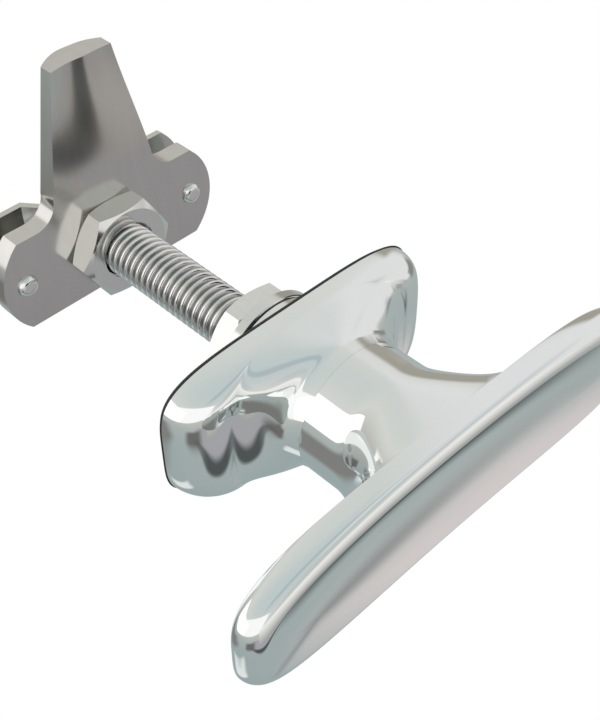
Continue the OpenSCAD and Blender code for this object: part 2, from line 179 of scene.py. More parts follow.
class CamForm(bpy.types.PropertyGroup):
    """Sizes of the cam plate and its blade."""

    length: size("Length", "Length over the two ears", 47.4 * MM)
    thick: size("Thickness", "Thickness of the plate", FORK_LOW.y - PLATE_LOW.y)
    ear_radius: size("Ear radius", "Radius of the rounded ends", 12.7 * MM)
    root: size("Blade root", "Width of the blade at its root", 21.6 * MM)
    tip: size("Blade tip", "Width of the blade at its tip", 12.6 * MM)
    tip_edge: size("Tip edge", "Thickness of the tip at its sides", 2.7 * MM)
    tip_middle: size("Tip middle", "Thickness of the tip at its middle", 4.5 * MM)
    tip_lean: size("Tip lean", "How far the tip corners lean back", 1.15 * MM)
    tip_hollow: size("Tip hollow", "Hollow of the front of the tip", 0.7 * MM)
    hollow_right: share("Right hollow", "How hollow the right half is, share of the left", 0.35)
    tip_ridge: size("Tip ridge", "Soft ridge along the middle of the hollow", 0.25 * MM)
    ridge_place: share("Ridge place", "Where the ridge runs, middle to right edge", 0.12)
    ridge_width: share("Ridge width", "Width of the ridge, share of half the blade", 0.35)
    pin_hole: size("Pin hole", "Radius of the holes for the rod pins", 2.02 * MM)
    fillet: size("Fillet", "Radius between the ears and the blade", 4.5 * MM)


class ThreadForm(bpy.types.PropertyGroup):
    """Sizes of the spindle thread, the nuts and the pins."""

    pitch: size("Pitch", "Distance between two turns of the thread", 1.5 * MM)
    depth: size("Depth", "Depth of the thread", 0.9 * MM)
    flank: share("Flank", "How high the wave of the thread is before its crests are cut flat", 0.72)
    # Depths in the thread where its painted shade is darkest and its painted highlight brightest
    painted_shade_depth: size("Root shade", "How deep in the thread the steel is darkest", 0.8 * MM)
    painted_highlight_depth: size("Crest shade", "How deep in the thread the steel is brightest", 0.2 * MM)
    chamfer: size("Chamfer", "Chamfer of the ends of the spindle", 1 * MM)
    nut_chamfer: size("Nut chamfer", "Radial chamfer of the corners of the nuts", 1.6 * MM)
    countersink: size("Countersink", "Chamfer of the bores of the nuts", 0.45 * MM)
    bore: size("Bore", "Radius of the holes on the spindle", 5.05 * MM)
    washer_edge: size("Washer edge", "Broken edge of the flat washer", 0.15 * MM)
    ring_edge: size("Ring edge", "Broken edge of the friction ring", 0.1 * MM)
    pressed_in: size("Pressed in", "How far the flat washer presses into the friction ring", 0.55 * MM)
    pin_radius: size("Pin radius", "Radius of the rod pins", 2 * MM)
    pin_head: size("Pin head", "Thickness of the heads of the rod pins", 1.2 * MM)
    pin_nose: size("Pin nose", "Rounding of the front ends of the rod pins", 1 * MM)
    pin_edge: size("Pin edge", "Broken edges of the heads of the rod pins", 0.25 * MM)


class FinishForm(bpy.types.PropertyGroup):
    """Colours of the finishes, each from its darker to its lighter shade."""

    chrome_dark: tint("Chrome, dark", "Chrome where it is slightly hazy", (0.84, 0.86, 0.85))
    chrome_light: tint("Chrome, light", "Chrome where it is clear", (0.88, 0.885, 0.875))
    cam_dark: tint("Cam steel, dark", "Polished steel along its grain", (0.61, 0.59, 0.56))
    cam_light: tint("Cam steel, light", "Polished steel between its grain", (0.69, 0.67, 0.64))
    plated_dark: tint("Plated steel, dark", "Plated nuts and washers, darker", (0.74, 0.735, 0.71))
    plated_light: tint("Plated steel, light", "Plated nuts and washers, lighter", (0.82, 0.82, 0.8))
    # Painted shade for the roots of the thread and a painted highlight for its crests
    thread_root_painted_shade: tint("Thread root", "Steel in the roots of the thread", (0.3, 0.285, 0.275))
    thread_crest_painted_highlight: tint("Thread crest", "Steel on the crests of the thread", (0.82, 0.815, 0.8))
    pin_dark: tint("Pin steel, dark", "Ground pins, darker", (0.78, 0.78, 0.77))
    pin_light: tint("Pin steel, light", "Ground pins, lighter", (0.84, 0.84, 0.83))
    rubber_dark: tint("Rubber, dark", "Gasket and seal, darker", (0.008, 0.009, 0.008))
    rubber_light: tint("Rubber, light", "Gasket and seal, lighter", (0.02, 0.022, 0.02))
    friction_dark: tint("Friction ring, dark", "Black plastic, darker", (0.02, 0.02, 0.02))
    friction_light: tint("Friction ring, light", "Black plastic, lighter", (0.035, 0.035, 0.034))
    bush_dark: tint("Bush, dark", "Bearing plastic, darker", (0.8, 0.78, 0.7))
    bush_light: tint("Bush, light", "Bearing plastic, lighter", (0.86, 0.84, 0.77))


class StudioForm(bpy.types.PropertyGroup):
    """The camera, the floor and the room that the metal mirrors."""

    camera_place: bpy.props.FloatVectorProperty(
        name="Camera", description="Where the camera stands", subtype="XYZ", unit="LENGTH",
        default=(-99.095 * MM, -105.704 * MM, 142.753 * MM))
    camera_azimuth: share("Azimuth", "Heading of the camera in degrees, 0 looks along +Y", -43.935)
    camera_elevation: share("Elevation", "How far the camera looks down, in degrees", 44.503)
    camera_roll: share("Roll", "Roll of the camera in degrees", -0.918)
    lens: share("Lens", "Focal length in millimetres on a 36 mm sensor", 62.046)
    floor_drop: size("Floor drop", "How far the floor lies below the spindle", 0.25)
    floor_reach: size("Floor reach", "How far the floor runs to each side", 3)
    floor_colour: tint("Floor colour", "Pale floor", (0.85, 0.85, 0.85))
    room_tilt: share("Room tilt", "How far the room leans towards the handle, in degrees", 13)
    room_floor: tint("Room floor", "The room straight below", (0.35, 0.42, 0.43))
    room_low: tint("Room foot", "The room a little below the horizon", (0.45, 0.5, 0.49))
    room_level: tint("Room level", "The room at the horizon", (0.58, 0.57, 0.54))
    room_high: tint("Room wall", "The room above the horizon", (0.74, 0.75, 0.71))
    room_top: tint("Room ceiling", "The room straight above", (0.58, 0.65, 0.66))
    right_wall: panel("Right wall", (101, 26, 5, 43, 42, 0.3, 1))
    right_wall_colour: tint("Right wall colour", "Pale wall at the right", (0.83, 0.83, 0.84))
    rear_wall: panel("Rear wall", (-118, 20, 0, 40, 27, 0.16, 1))
    rear_wall_colour: tint("Rear wall colour", "Pale wall behind the camera", (1.08, 1.09, 1.09))
    cool_band: panel("Cool band", (155, 43, -22, 50, 12, 0.8, 1))
    cool_band_colour: tint("Cool band colour", "Cool shade above the front light", (0.57, 0.61, 0.62))
    cool_line: panel("Cool line", (165, 69, -8, 40, 8, 0.7, 1))
    cool_line_colour: tint("Cool line colour", "Bluish shade high in front", (0.47, 0.55, 0.58))
    front_wall: panel("Front wall", (-178, -39, 0, 44, 13.5, 0.2, 1))
    front_wall_colour: tint("Front wall colour", "Grey wall below the front light", (0.41, 0.41, 0.43))
    front_light: panel("Front light", (165.5, -5.5, -20, 43, 31, 0.1, 0.41))
    front_light_colour: tint("Front light colour", "Broad light in front", (1.01, 0.99, 0.96))
    left_light: panel("Left light", (-59.5, 16, 1, 40.5, 21.5, 0.06, 1))
    left_light_colour: tint("Left light colour", "Crisp light at the left", (1.29, 1.29, 1.29))
    end_light: panel("End light", (5, -11.5, 1.5, 10, 37, 0.3, 1))
    end_light_colour: tint("End light colour", "Narrow light behind", (1.05, 1.09, 1.11))
    left_shade: panel("Left shade", (-38, -34.5, -1, 41.5, 19, 0.5, 1))
    left_shade_colour: tint("Left shade colour", "Shade below the left light", (0.24, 0.24, 0.23))
    corner_shade: panel("Corner shade", (-128, -36, 0, 19, 13, 0.6, 1))
    corner_shade_colour: tint("Corner shade colour", "Shade left of the front wall", (0.17, 0.165, 0.16))
    skirting: panel("Skirting", (180, -51.5, 0, 45, 4.2, 0.7, 1))
    skirting_colour: tint("Skirting colour", "Dark line at the foot of the front wall", (0.09, 0.1, 0.1))
    skirting_end: panel("End of the skirting", (135, -43.5, -54, 15, 2.6, 1, 1))
    skirting_end_colour: tint("Colour of its end", "Dark line right of the skirting", (0.06, 0.075, 0.075))
    right_shade: panel("Right shade", (89, -10, 0, 21, 16, 0.5, 1))
    right_shade_colour: tint("Right shade colour", "Shade low at the right", (0.28, 0.28, 0.26))
    warm_shade: panel("Warm shade", (56, 8, 0, 10, 22, 0.45, 1))
    warm_shade_colour: tint("Warm shade colour", "Warm shade at the right", (0.4, 0.38, 0.33))
    low_glow: panel("Low glow", (111.5, -54, 0, 16, 14, 0.8, 1))
    low_glow_colour: tint("Low glow colour", "Warm glow on the floor", (0.7, 0.65, 0.64))
    glow_edge: panel("Glow edge", (129.5, -55.5, 12, 3.4, 19, 1, 1))
    glow_edge_colour: tint("Glow edge colour", "Dim edge of the glow", (0.32, 0.33, 0.33))
    rear_glow: panel("Rear glow", (-71, -63, 0, 19, 7, 0.5, 1))
    rear_glow_colour: tint("Rear glow colour", "Pale spot on the floor", (0.83, 0.85, 0.85))


PANELS = ("right_wall", "rear_wall", "cool_band", "cool_line", "front_wall", "front_light", "left_light",
          "end_light", "left_shade", "corner_shade", "right_shade", "warm_shade", "low_glow", "glow_edge",
          "rear_glow", "skirting", "skirting_end")

FORMS = {
    "latch_handle": HandleForm,
    "latch_base": BaseForm,
    "latch_cam": CamForm,
    "latch_thread": ThreadForm,
    "latch_finish": FinishForm,
    "latch_studio": StudioForm,
}


def between(a, b, t):
    """Part of the way from a to b."""
    return a + (b - a) * t


def ease(t):
    """A soft step from 0 to 1."""
    u = min(max(t, 0), 1)
    return u * u * (3 - 2 * u)


def bezier(p, steps):
    """Points along a cubic curve, without its first."""
    p = [Vector(q) for q in p]
    ts = [(i + 1) / steps for i in range(steps)]
    return [(1 - t) ** 3 * p[0] + 3 * (1 - t) ** 2 * t * p[1] + 3 * (1 - t) * t * t * p[2] + t ** 3 * p[3]
            for t in ts]


def outline(a, b, power):
    """A rounded outline of half length a and half height b: power 2 is an ellipse."""
    points = []
    for i in range(RING):
        c = math.cos(math.tau * i / RING)
        s = math.sin(math.tau * i / RING)
        r = (abs(c) ** power + abs(s) ** power) ** (-1 / power)
        points.append((a * r * c, b * r * s))
    return points


def circle(radius, y, count=TURN, x=0):
    """Points round an axis along Y."""
    turns = [math.tau * i / count for i in range(count)]
    return [(x + radius * math.cos(f), y, radius * math.sin(f)) for f in turns]


class Shell:
    """Rings, skins and flat faces that are gathered into one closed mesh."""

    def __init__(self):
        self.mesh = bmesh.new()

    def ring(self, points):
        return [self.mesh.verts.new(point) for point in points]

    def skin(self, *rings):
        """Quads between each ring and the next."""
        for near, far in zip(rings, rings[1:]):
            for i in range(len(near)):
                self.mesh.faces.new((near[i - 1], near[i], far[i], far[i - 1]))

    def strip(self, *rows):
        """Quads between open rows of points."""
        for near, far in zip(rows, rows[1:]):
            for i in range(1, len(near)):
                self.mesh.faces.new((near[i - 1], near[i], far[i], far[i - 1]))

    def flat(self, *loops):
        """A flat face inside the first loop, with the other loops as its holes."""
        edges = []
        for loop in loops:
            for pair in zip(loop, loop[1:] + loop[:1]):
                edges.append(self.mesh.edges.get(pair) or self.mesh.edges.new(pair))
        bmesh.ops.triangle_fill(self.mesh, edges=edges, use_beauty=True)

    def cap(self, ring, middle):
        """A fan from a middle point to a ring."""
        hub = self.mesh.verts.new(middle)
        for i in range(len(ring)):
            self.mesh.faces.new((ring[i - 1], ring[i], hub))

    def finished(self, name, sharp=32):
        """The mesh as an object, smooth but for the edges that turn more than sharp degrees."""
        bmesh.ops.recalc_face_normals(self.mesh, faces=self.mesh.faces)
        mesh = bpy.data.meshes.new(name)
        self.mesh.to_mesh(mesh)
        self.mesh.free()
        return smooth_object(name, mesh, sharp)


def smooth_object(name, mesh, sharp):
    """A linked object of a mesh, smooth but for its sharp edges."""
    mesh.shade_smooth()
    mesh.set_sharp_from_angle(angle=math.radians(sharp))
    piece = bpy.data.objects.new(name, mesh)
    bpy.context.scene.collection.objects.link(piece)
    return piece


def dress(piece, body, slot, *nodes):
    """Paints a finished piece and lets it ride on its body in place of its nodes."""
    piece.data.materials.clear()
    piece.data.materials.append(FINISHES[slot]())
    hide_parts(*nodes)
    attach(piece, body)


def lathe(shell, profile):
    """Turns a closed profile of radius and place along Y round the axis."""
    rings = [shell.ring(circle(r, y)) for r, y in profile]
    shell.skin(*rings, rings[0])


class Value:
    """A socket that Python's operators work on: each adds one Math node."""

    def __init__(self, graph, socket):
        self.graph = graph
        self.socket = socket

    def math(self, operation, *others):
        terms = dict(enumerate((self, *others)))
        return self.graph.node("ShaderNodeMath", {"operation": operation}, terms)

    def __add__(self, other):
        return self.math("ADD", other)

    def __sub__(self, other):
        return self.math("SUBTRACT", other)

    def __rsub__(self, other):
        return self.graph.node("ShaderNodeMath", {"operation": "SUBTRACT"}, {0: other, 1: self})

    def __mul__(self, other):
        return self.math("MULTIPLY", other)

    def __truediv__(self, other):
        return self.math("DIVIDE", other)

    __radd__ = __add__
    __rmul__ = __mul__


class Graph:
    """A node tree that is written as expressions."""

    def __init__(self, tree):
        self.tree = tree

    def node(self, kind, settings=None, sockets=None, out=0):
        """Adds a node: its settings first, then the values or links of its sockets."""
        made = self.tree.nodes.new(kind)
        for name, value in (settings or {}).items():
            if name == "stops":
                ramp = made.color_ramp
                while len(ramp.elements) < len(value):
                    ramp.elements.new(1)
                for stop, (place, colour) in zip(ramp.elements, value):
                    stop.position = place
                    stop.color = (*colour, 1)
            else:
                setattr(made, name, value)
        for name, value in (sockets or {}).items():
            for one in value if isinstance(value, list) else [value]:
                if isinstance(one, Value):
                    self.tree.links.new(one.socket, made.inputs[name])
                else:
                    made.inputs[name].default_value = one
        return Value(self, made.outputs[out])


def surface(slot, varied, metallic=0.0):
    """The slot's own Principled material, with what changes over its surface."""
    name = slot + "_finish"
    known = bpy.data.materials.get(name)
    if known:
        return known
    material = bpy.data.materials.new(name)
    material.use_nodes = True
    graph = Graph(material.node_tree)
    shader = material.node_tree.nodes["Principled BSDF"]
    shader.inputs["Metallic"].default_value = metallic
    place = graph.node("ShaderNodeTexCoord", out="Object")
    for label, value in varied(graph, place).items():
        graph.tree.links.new(value.socket, shader.inputs[label])
    return material


def noise(graph, place, scale, detail=2.0, stretch=(1, 1, 1)):
    """A noise from 0 to 1, stretched along the axes."""
    mapped = graph.node("ShaderNodeMapping", {}, {"Vector": place, "Scale": stretch})
    return graph.node("ShaderNodeTexNoise", {}, {"Vector": mapped, "Scale": scale, "Detail": detail})


def colour_mix(graph, factor, below, above):
    """From one colour to another."""
    return graph.node("ShaderNodeMix", {"data_type": "RGBA"}, {
        "Factor": factor, 6: below, 7: above}, out=2)


def shades(graph, factor, dark, light):
    """From one named colour of the finishes to another."""
    form = bpy.context.scene.latch_finish
    return colour_mix(graph, factor, (*getattr(form, dark), 1), (*getattr(form, light), 1))


def grained(slot, shade, rough, grain, metallic=0.0):
    """A finish whose shade and roughness follow one fine grain: rough is its least and its spread."""
    least, spread = rough

    def varied(graph, place):
        level = noise(graph, place, *grain)
        return {
            "Roughness": level * spread + least,
            "Base Color": shades(graph, level, shade + "_dark", shade + "_light"),
        }
    return surface(slot, varied, metallic)


def chrome():
    return grained("chrome", "chrome", (0.02, 0.02), (90,), 1.0)


def cam_steel():
    return grained("cam_steel", "cam", (0.15, 0.06), (500, 3, (1, 1, 0.12)), 1.0)


def plated_steel():
    return grained("plated_steel", "plated", (0.1, 0.05), (700, 3, (1, 0.15, 1)), 1.0)


def bright_steel():
    return grained("bright_steel", "pin", (0.08, 0.05), (900,), 1.0)


def black_plastic():
    return grained("friction_plastic", "friction", (0.4, 0.15), (1200, 3))


def bearing_plastic():
    return grained("bush_plastic", "bush", (0.35, 0.15), (800, 3))


def thread_steel():
    """Painted shade in the roots of the thread and a painted highlight on its crests, set by distance from
    the axis.
    """
    def varied(graph, place):
        split = graph.node("ShaderNodeSeparateXYZ", {}, {"Vector": place})
        x = Value(graph, split.socket.node.outputs[0])
        z = Value(graph, split.socket.node.outputs[2])
        radius = (x * x + z * z).math("SQRT")
        form = bpy.context.scene.latch_thread
        # Share from the painted shade of the roots (0) to the painted highlight of the crests (1); the
        # roughness follows it too
        painted_crest_highlight = graph.node("ShaderNodeMapRange", {}, {
            "Value": radius, "From Min": SPINDLE_HIGH.x - form.painted_shade_depth,
            "From Max": SPINDLE_HIGH.x - form.painted_highlight_depth})
        return {
            "Roughness": 0.3 - painted_crest_highlight * 0.16,
            "Base Color": shades(graph, painted_crest_highlight, "thread_root_painted_shade", "thread_crest_painted_highlight"),
        }
    return surface("thread_steel", varied, 1.0)


def rubber():
    """Black rubber with a fine bump."""
    def varied(graph, place):
        speck = noise(graph, place, 1500, 4)
        bump = graph.node("ShaderNodeBump", {}, {"Strength": 0.25, "Distance": 0.05 * MM, "Height": speck})
        return {
            "Roughness": speck * 0.2 + 0.5,
            "Base Color": shades(graph, speck, "rubber_dark", "rubber_light"),
            "Normal": bump,
        }
    return surface("gasket_rubber", varied)


FINISHES = {
    "chrome": chrome,
    "cam_steel": cam_steel,
    "plated_steel": plated_steel,
    "thread_steel": thread_steel,
    "bright_steel": bright_steel,
    "gasket_rubber": rubber,
    "friction_plastic": black_plastic,
    "bush_plastic": bearing_plastic,
}


def handle_plan(form, neck_y, back_y, edge_y):
    """Half width and place along Y, from the seam to the front edge of the bar."""
    half = form.length / 2
    neck = form.neck_radius
    fillet_end = neck + form.fillet
    end_start = half - form.end_round
    straight_y = neck_y - form.neck_straight
    depth_pull = between(straight_y, back_y, form.fillet_depth_pull)
    reach_pull = between(neck, fillet_end, form.fillet_reach_pull)
    fillet = bezier([(neck, straight_y), (neck, depth_pull), (reach_pull, back_y), (fillet_end, back_y)],
                    FILLET_ROWS)
    back = [(between(fillet_end, end_start, (i + 1) / BACK_ROWS), back_y) for i in range(BACK_ROWS)]
    end = bezier([(end_start, back_y), (half - form.end_round / 2, back_y),
                  (half, (back_y + edge_y) / 2), (half, edge_y)], END_ROWS)
    neck_rows = [(neck, between(neck_y, straight_y, i / NECK_ROWS)) for i in range(NECK_ROWS + 1)]
    return neck_rows + fillet + back + end


def bar_ring(form, a, b, power, y, sweep):
    """One ring of the bar, swept forward towards its tips."""
    return [(x, y - sweep * form.sweep * (2 * x / form.length) ** 2, z) for x, z in outline(a, b, power)]


def handle_rings(form, neck_y):
    """Rings from the seam over the fillet and the back of the bar to the middle of its front face."""
    back_y = neck_y - form.neck_len
    edge_y = back_y - form.thick + form.edge_round
    straight_y = neck_y - form.neck_straight
    half_height = form.height / 2
    rings = []
    for x, y in handle_plan(form, neck_y, back_y, edge_y):
        t = ease((straight_y - y) / (straight_y - back_y))
        rings.append(bar_ring(form, x, between(form.neck_radius, half_height, t),
                              between(2, form.square, t), y, 0))
    inner = half_height - form.edge_round
    slope = math.atan(2 * form.crown / inner)
    last_turn = math.pi / 2 - slope
    for i in range(1, EDGE_ROWS + 1):
        f = last_turn * i / EDGE_ROWS
        rings.append(bar_ring(form, form.length / 2 - form.end_round * (1 - math.cos(f)),
                              half_height - form.edge_round * (1 - math.cos(f)),
                              form.square, edge_y - form.edge_round * math.sin(f), math.sin(f)))
    rim_a = form.length / 2 - form.end_round * (1 - math.cos(last_turn))
    rim_b = half_height - form.edge_round * (1 - math.cos(last_turn))
    rim_y = edge_y - form.edge_round * math.sin(last_turn)
    # The last ring of the face stops half a row short of the middle line
    for i in range(1, FACE_ROWS + 1):
        inset = rim_b * i / (FACE_ROWS + 0.5)
        y = rim_y - math.tan(slope) * inset * (1 - inset / (2 * rim_b))
        rings.append(bar_ring(form, rim_a - inset, rim_b - inset, form.square, y, 1))
    return rings


def build_handle(form):
    """The T-handle, closed in front and with a socket for the spindle behind."""
    neck_y = HANDLE_HIGH.y + form.seam_fill
    shell = Shell()
    rings = [shell.ring(points) for points in handle_rings(form, neck_y)]
    shell.skin(*rings)
    front = rings[-1]
    half = RING // 2
    upper = [front[i] for i in range(half + 1)]
    lower = [front[-i] for i in range(half + 1)]
    for i in range(half):
        corners = dict.fromkeys((upper[i], upper[i + 1], lower[i + 1], lower[i]))
        shell.mesh.faces.new(list(corners))
    socket = SPINDLE_HIGH.x + form.socket_gap
    mouth = shell.ring(circle(socket, neck_y))
    floor = shell.ring(circle(socket, SPINDLE_LOW.y - form.socket_end))
    shell.flat(rings[0], mouth)
    shell.skin(mouth, floor)
    shell.flat(floor)
    return shell.finished("t_handle_body")


def base_rings(form, seam_y, back_y, neck):
    """Rings from the gasket over the lobes and down their coves to the round seam."""
    half = form.length / 2
    lobe_y = back_y - form.lobe_depth
    lobe_x = between(neck, half, form.lobe_middle)
    plan = [Vector((half, back_y))]
    plan += bezier([(half, back_y), (half - form.end_lean, between(back_y, lobe_y, form.end_turn)),
                    (half - form.lobe_round, lobe_y), (lobe_x, lobe_y)], LOBE_ROWS)
    flare = (neck + form.neck_flare, between(lobe_y, seam_y, form.cove_turn))
    plan += bezier([(lobe_x, lobe_y), (lobe_x - form.cove_reach, lobe_y), flare, (neck, seam_y)],
                   LOBE_ROWS)
    rings = []
    for i, (x, y) in enumerate(plan):
        way = plan[min(i + 1, len(plan) - 1)] - plan[max(i - 1, 0)]
        w = ease((lobe_y - y) / (lobe_y - seam_y - form.collar))
        lean = max(0, -way.normalized().x) * (1 - w) if i else 0
        half_height = between(form.height / 2, neck, w)
        ring = []
        for px, pz in outline(x, half_height, between(form.square, 2, w ** form.round_late)):
            rise = max(0, 1 - (half_height - abs(pz)) / form.lobe_edge)
            rounded = form.lobe_edge * (1 - math.sqrt(1 - rise * rise))
            barrelled = form.barrel * (pz / half_height) ** 2
            ring.append((px, y + lean * (rounded + barrelled), pz))
        rings.append(ring)
    return rings


def fixing_places():
    """Where the two fixing screws stand along X."""
    half = FIXING["spacing_x_mm"] * MM / 2
    return -half, half


def build_base(form, neck):
    """The lobed base with its boss, the bore of the bush and the tapped holes behind."""
    seam_y = BASE_LOW.y
    back_y = GASKET_LOW.y
    boss_y = BASE_HIGH.y
    hole = FIXING["hole_r_mm"] * MM
    chamfer = form.boss_chamfer
    step = form.bush_step
    shell = Shell()
    rings = [shell.ring(points) for points in base_rings(form, seam_y, back_y, neck)]
    shell.skin(*rings)
    boss = [shell.ring(circle(r, y)) for r, y in (
        (form.boss_radius, back_y), (form.boss_radius, boss_y - chamfer),
        (form.boss_radius - chamfer, boss_y), (SEAL_HIGH.x, boss_y), (SEAL_HIGH.x, BUSH_HIGH.y),
        (BUSH_HIGH.x - step, BUSH_HIGH.y), (BUSH_HIGH.x - step, seam_y + step),
        (BUSH_HIGH.x, seam_y + step), (BUSH_HIGH.x, seam_y))]
    shell.skin(*boss)
    mouths = []
    for x in fixing_places():
        bottom_y = back_y - form.fixing_depth
        mouth = shell.ring(circle(hole, back_y, HOLE_TURN, x))
        bottom = shell.ring(circle(hole, bottom_y, HOLE_TURN, x))
        shell.skin(mouth, bottom)
        shell.cap(bottom, (x, bottom_y - form.drill_point * hole, 0))
        mouths.append(mouth)
    shell.flat(rings[0], boss[0], *mouths)
    shell.flat(rings[-1], boss[-1])
    return shell.finished("escutcheon_shell")


def build_gasket(form):
    """The gasket under the base, with its rear edge sloped away."""
    shell = Shell()
    lip = (GASKET_HIGH.x - form.length / 2) * form.gasket_lip
    edge = form.gasket_edge
    front, back = GASKET_LOW.y, GASKET_HIGH.y
    loops = []
    for inset, y in ((edge, front), (0, front + edge), (0, front + 2 * edge), (form.gasket_slope, back)):
        grow = lip - inset
        loops.append(shell.ring([(x, y, z) for x, z in outline(
            form.length / 2 + grow, form.height / 2 + grow, form.square)]))
    shell.skin(*loops)
    holes = [(form.boss_radius + form.gap, 0, TURN)]
    holes += [(FIXING["hole_r_mm"] * MM + form.gap, x, HOLE_TURN) for x in fixing_places()]
    fronts = []
    backs = []
    for radius, x, count in holes:
        fronts.append(shell.ring(circle(radius, front, count, x)))
        backs.append(shell.ring(circle(radius, back, count, x)))
        shell.skin(fronts[-1], backs[-1])
    shell.flat(loops[0], *fronts)
    shell.flat(loops[-1], *backs)
    return shell.finished("gasket_sheet")


def ring_washer(name, low, high, bore, edge):
    """A flat ring with broken edges."""
    shell = Shell()
    outer = high.x
    lathe(shell, [(bore, low.y), (outer - edge, low.y), (outer, low.y + edge),
                  (outer, high.y - edge), (outer - edge, high.y), (bore, high.y)])
    return shell.finished(name, sharp=25)


def blade_shape(form, foot, height):
    """How wide the blade is at a height, and where its front and back lie across it."""
    def share_at(z):
        return min(max((z - foot) / (height - foot), 0), 1)

    def half(z):
        return between(form.root, form.tip, (z - foot) / (height - foot)) / 2

    def front(s, z):
        hollow = form.tip_hollow * (1 - s * s * (1 if s < 0 else form.hollow_right))
        ridge = form.tip_ridge * math.exp(-((s - form.ridge_place) / form.ridge_width) ** 2)
        return PLATE_LOW.y + ease(share_at(z)) * (form.tip_lean + hollow - ridge)

    def back(s, z):
        t = ease(share_at(z))
        edge = between(form.thick, form.tip_edge, t)
        middle = between(form.thick, form.tip_middle, t)
        return front(s, z) + edge + (middle - edge) * (1 - s * s)

    return half, front, back


def ear_outline(form, foot):
    """Points of the plate in X and Z, from the right foot of the blade round below to the left foot."""
    half_height = -PLATE_LOW.z
    centre = form.length / 2 - form.ear_radius
    turn = math.asin(half_height / form.ear_radius)
    corner_x = form.root / 2 + form.fillet
    right = [(corner_x - form.fillet * math.cos(f), foot - form.fillet * math.sin(f))
             for f in (math.pi / 2 * i / CORNER_ROWS for i in range(CORNER_ROWS + 1))]
    right += [(centre + form.ear_radius * math.cos(f), form.ear_radius * math.sin(f))
              for f in (between(turn, -turn, i / EAR_ROWS) for i in range(EAR_ROWS + 1))]
    return right + [(-x, z) for x, z in reversed(right)]


def build_cam_plate(form, bore):
    """The cam plate with its ears, its holes and the hollow blade above."""
    height = PLATE_HIGH.z
    foot = -PLATE_LOW.z + form.fillet
    half, front, back = blade_shape(form, foot, height)
    rows = [between(foot, height, i / BLADE_ROWS) for i in range(BLADE_ROWS + 1)]
    columns = [i / BLADE_COLUMNS for i in range(-BLADE_COLUMNS, BLADE_COLUMNS + 1)]
    shell = Shell()
    ears = ear_outline(form, foot)
    pins = [(LEFT_PIN_LOW.x + LEFT_PIN_HIGH.x) / 2, (RIGHT_PIN_LOW.x + RIGHT_PIN_HIGH.x) / 2]
    faces = []
    for depth, plane in ((front, PLATE_LOW.y), (back, PLATE_LOW.y + form.thick)):
        grid = [shell.ring([(s * half(z), depth(s, z), z) for s in columns]) for z in rows]
        lower = shell.ring([(x, plane, z) for x, z in ears[1:-1]])
        holes = [shell.ring(circle(bore, plane))]
        holes += [shell.ring(circle(form.pin_hole, plane, PIN_TURN, x)) for x in pins]
        shell.strip(*grid)
        shell.flat(grid[0] + lower, *holes)
        faces.append((grid, lower, holes))
    (near, near_low, near_holes), (far, far_low, far_holes) = faces
    rim_near = [row[0] for row in near] + near[-1][1:-1] + [row[-1] for row in reversed(near)] + near_low
    rim_far = [row[0] for row in far] + far[-1][1:-1] + [row[-1] for row in reversed(far)] + far_low
    shell.skin(rim_near, rim_far)
    for a, b in zip(near_holes, far_holes):
        shell.skin(a, b)
    return shell.finished("cam_blade_plate", sharp=40)


def new_tree(name, kind, inputs, label, output):
    """A node group with named inputs and one output: its graph and the values of its inputs."""
    tree = bpy.data.node_groups.new(name, kind)
    for given, socket in inputs.items():
        tree.interface.new_socket(given, in_out="INPUT", socket_type="NodeSocket" + socket)
    tree.interface.new_socket(label, in_out="OUTPUT", socket_type="NodeSocket" + output)
    graph = Graph(tree)
    source = tree.nodes.new("NodeGroupInput")
    return graph, {given: Value(graph, source.outputs[given]) for given in inputs}


def geometry_tree(name, inputs):
    """A Geometry Nodes tree with named inputs and one geometry output."""
    return new_tree(name, "GeometryNodeTree", inputs, "Geometry", "Geometry")


def grown(name, tree, values, sharp, shell=None):
    """The plain mesh that a tree makes from its named values, and from a shell if it takes one."""
    if shell:
        carrier = shell.finished(name + "_carrier")
    else:
        carrier = bpy.data.objects.new(name + "_carrier", bpy.data.meshes.new(name + "_carrier"))
        bpy.context.scene.collection.objects.link(carrier)
    modifier = carrier.modifiers.new("Grow", "NODES")
    modifier.node_group = tree
    for socket in tree.interface.items_tree:
        if socket.in_out == "INPUT" and socket.name in values:
            modifier[socket.identifier] = values[socket.name]
    evaluated = carrier.evaluated_get(bpy.context.evaluated_depsgraph_get())
    mesh = bpy.data.meshes.new_from_object(evaluated)
    mesh.name = name
    bpy.data.objects.remove(carrier)
    return smooth_object(name, mesh, sharp)


def close_tree(graph, geometry, material):
    """Ends a tree: real copies in one material."""
    real = graph.node("GeometryNodeRealizeInstances", {}, {"Geometry": geometry})
    painted = graph.node("GeometryNodeSetMaterial", {}, {"Geometry": real, "Material": material})
    output = graph.tree.nodes.new("NodeGroupOutput")
    graph.tree.links.new(painted.socket, output.inputs["Geometry"])
    return graph.tree


